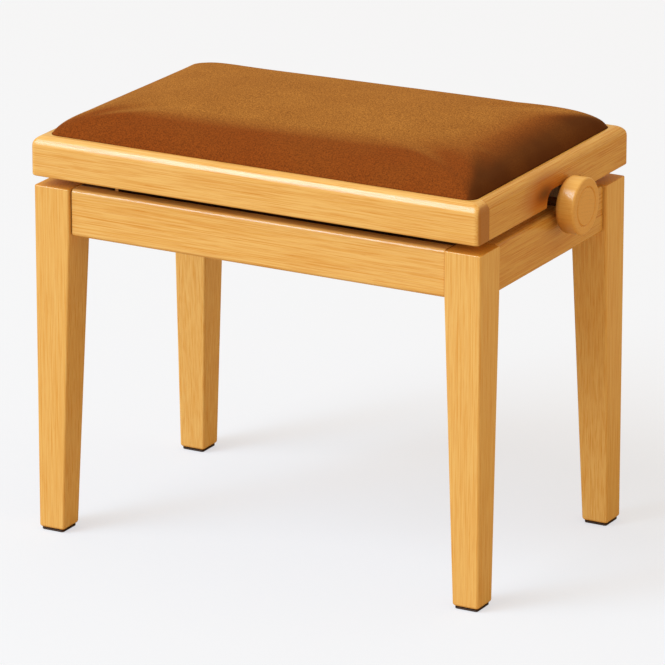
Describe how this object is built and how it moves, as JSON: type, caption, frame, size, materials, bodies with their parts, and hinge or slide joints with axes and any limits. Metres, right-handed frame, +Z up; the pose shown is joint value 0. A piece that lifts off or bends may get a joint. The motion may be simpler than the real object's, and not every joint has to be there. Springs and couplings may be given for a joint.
{
  "type": "adjustable piano bench",
  "caption": "Four-legged wooden piano bench with a padded seat that a screw spindle with a round side knob lifts on a scissor mechanism.",
  "frame": {"origin": "on the floor, below the middle of the bounding box of bench and knob", "axes": "+X along the bench towards the knob, +Y from the player's side to the piano's side, +Z up"},
  "size_m": [0.5796, 0.357, 0.4891],
  "materials": {
    "beech": "satin lacquered beech with a fine lengthwise grain",
    "knob_beech": "turned beech, satin lacquer, a little darker than the frame",
    "plywood": "raw beech and plywood, unpolished",
    "velvet": "short-pile velvet, russet brown with a lighter sheen",
    "steel": "dark brown enamelled steel, satin",
    "brass": "machined bronze",
    "glide": "dark brown plastic glides"
  },
  "bodies": {
    "stand": {"apron_front": "beech", "apron_left": "beech", "apron_rear": "beech", "apron_right": "beech", "base_channel_front": "steel", "base_channel_rear": "steel", "bearing_bush": "brass", "bearing_plate": "steel", "channel_screw_front_left": "steel", "channel_screw_front_right": "steel", "channel_screw_rear_left": "steel", "channel_screw_rear_right": "steel", "corner_block_front_left": "plywood", "corner_block_front_right": "plywood", "corner_block_rear_left": "plywood", "corner_block_rear_right": "plywood", "fixed_pivot_rod": "steel", "glide_front_left": "glide", "glide_front_right": "glide", "glide_rear_left": "glide", "glide_rear_right": "glide", "leg_front_left": "beech", "leg_front_right": "beech", "leg_rear_left": "beech", "leg_rear_right": "beech", "plate_screw_front": "steel", "plate_screw_rear": "steel"},
    "outer_arms": {"outer_arm_front": "steel", "outer_arm_rear": "steel", "sliding_rod": "steel"},
    "inner_arms": {"centre_bolt_front": "steel", "centre_bolt_rear": "steel", "centre_tube": "steel", "inner_arm_front": "steel", "inner_arm_rear": "steel"},
    "seat": {"angle_screw_front_left": "steel", "angle_screw_front_right": "steel", "angle_screw_rear_left": "steel", "angle_screw_rear_right": "steel", "cushion": "velvet", "seat_angle_front": "steel", "seat_angle_rear": "steel", "seat_board": "plywood", "seat_pivot_rod": "steel", "seat_rail_front": "beech", "seat_rail_left": "beech", "seat_rail_rear": "beech", "seat_rail_right": "beech", "seat_spacer_front": "steel", "seat_spacer_rear": "steel"},
    "traverse": {"spindle_nut": "brass", "traverse": "steel", "traverse_spacer_front": "steel", "traverse_spacer_rear": "steel"},
    "spindle": {"knob": "knob_beech", "retaining_ring": "steel", "spindle": "steel"}
  },
  "joints": [
    {"name": "lift", "type": "hinge", "parent": "stand", "child": "outer_arms", "pos_m": [-0.17265, 0, 0.409], "axis": [0, -1, 0], "range_deg": [0, 16.56]},
    {"name": "arm_crossing", "type": "hinge", "parent": "outer_arms", "child": "inner_arms", "pos_m": [-0.01275, 0, 0.423], "axis": [0, -1, 0], "range_deg": [-33.12, 0]},
    {"name": "seat_level", "type": "hinge", "parent": "inner_arms", "child": "seat", "pos_m": [-0.17265, 0, 0.437], "axis": [0, -1, 0], "range_deg": [0, 16.56]},
    {"name": "traverse_level", "type": "hinge", "parent": "inner_arms", "child": "traverse", "pos_m": [0.14715, 0, 0.409], "axis": [0, -1, 0], "range_deg": [0, 16.56]},
    {"name": "knob_turn", "type": "hinge", "parent": "stand", "child": "spindle", "pos_m": [0.26575, 0.025, 0.409], "axis": [-1, 0, 0], "range_deg": [0, 2549.6]}
  ],
  "couplings": [
    {"joint": "arm_crossing", "follows": "lift", "ratio": -2},
    {"joint": "seat_level", "follows": "lift", "ratio": 1},
    {"joint": "traverse_level", "follows": "lift", "ratio": 1},
    {"joint": "knob_turn", "follows": "lift", "ratio": 153.96}
  ]
}
